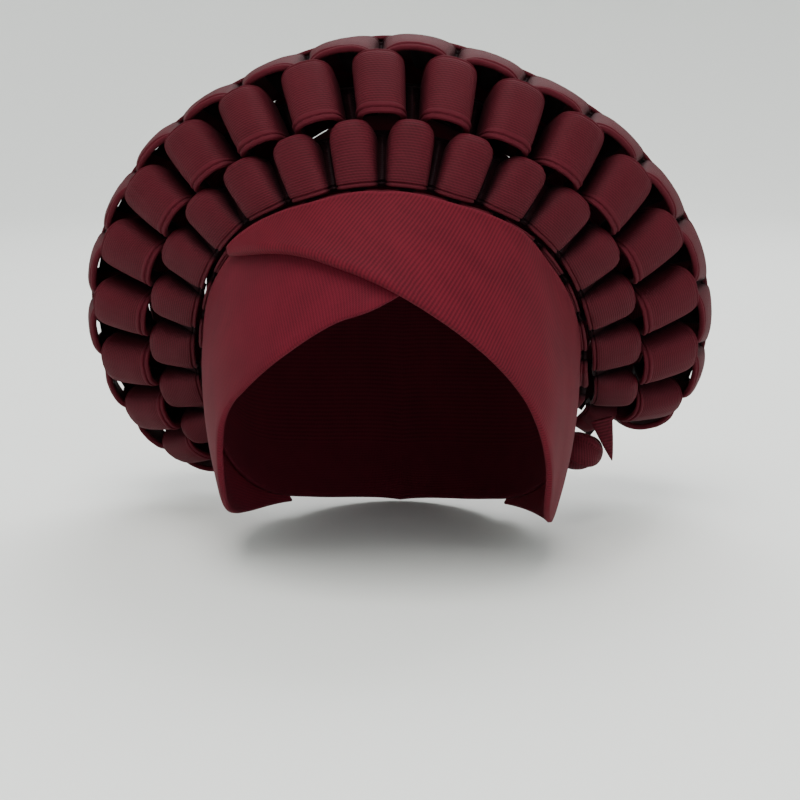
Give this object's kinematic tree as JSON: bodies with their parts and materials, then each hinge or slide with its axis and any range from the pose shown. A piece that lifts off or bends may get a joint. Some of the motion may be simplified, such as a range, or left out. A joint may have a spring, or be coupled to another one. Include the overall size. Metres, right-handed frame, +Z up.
{
  "type": "ready-tied gele head tie",
  "caption": "Ready-tied head wrap: a stretch cap with a crossed brow band and a halo of puffed cloth rows that frames the face.",
  "frame": {"origin": "middle of the head, level with its widest girth, where the wrap is held as a head holds it", "axes": "-Y the way the wearer looks, +X the wearer's left, +Z up"},
  "size_m": [0.2723, 0.1953, 0.2085],
  "materials": {
    "cap_knit": "matt stretch knit",
    "band_twill": "smooth twill-faced knit with a soft sheen",
    "puff_cloth": "doubled cloth with fine ribs"
  },
  "bodies": {
    "root": {"crown_cap": "cap_knit", "under_panel": "band_twill", "over_panel": "band_twill", "base_row": "puff_cloth", "inner_row": "puff_cloth", "outer_row": "puff_cloth", "rim_row": "puff_cloth", "rear_outer_row": "puff_cloth", "rear_middle_row": "puff_cloth", "rear_inner_row": "puff_cloth", "side_knot": "puff_cloth", "knot_corner": "puff_cloth"}
  },
  "joints": []
}
